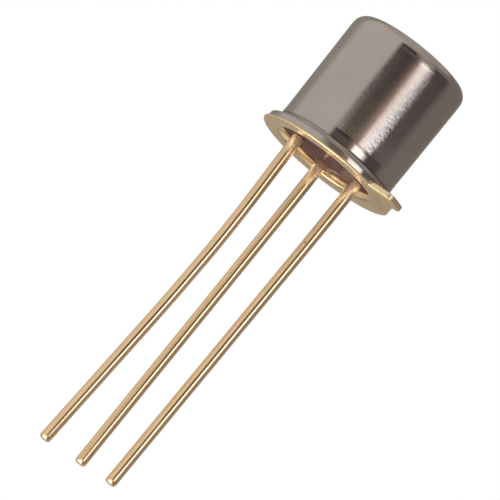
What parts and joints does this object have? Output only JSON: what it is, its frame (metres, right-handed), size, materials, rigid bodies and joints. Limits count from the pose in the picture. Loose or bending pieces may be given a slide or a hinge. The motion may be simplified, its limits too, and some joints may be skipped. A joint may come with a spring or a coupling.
{
  "type": "voltage reference chip",
  "caption": "Small round metal-can voltage reference: nickel can welded to a gold-plated glass-sealed header with an index tab and long wire leads.",
  "frame": {"origin": "centre of the seating plane, the flat underside of the flange, on the can's axis", "axes": "+Z out of the closed top of the can, leads along -Z, lead 1 on +X, lead 2 on +Y, lead 3 on -X, index tab half way between +X and -Y"},
  "size_m": [0.0054, 0.0054, 0.0187],
  "materials": {
    "can_nickel": "drawn nickel, semi-bright, with fine scuffs",
    "header_gold": "satin gold plate on a stamped eyelet",
    "lead_gold": "bright gold plate on drawn wire",
    "seal_glass": "dark brown sealing glass, glossy, nearly opaque",
    "braze": "braze fillet",
    "silicon": "polished silicon with metal pads",
    "die_attach_gold": "dull gold-silicon",
    "wire_gold": "bright fine gold wire"
  },
  "bodies": {
    "root": {"cap": "can_nickel", "header_eyelet": "header_gold", "glass_seal": "seal_glass", "lead_1": "lead_gold", "lead_2": "lead_gold", "lead_3": "lead_gold", "ground_braze": "braze", "die_attach": "die_attach_gold", "die": "silicon", "bond_wire_1": "wire_gold", "bond_wire_2": "wire_gold", "bond_wire_3": "wire_gold"}
  },
  "joints": []
}
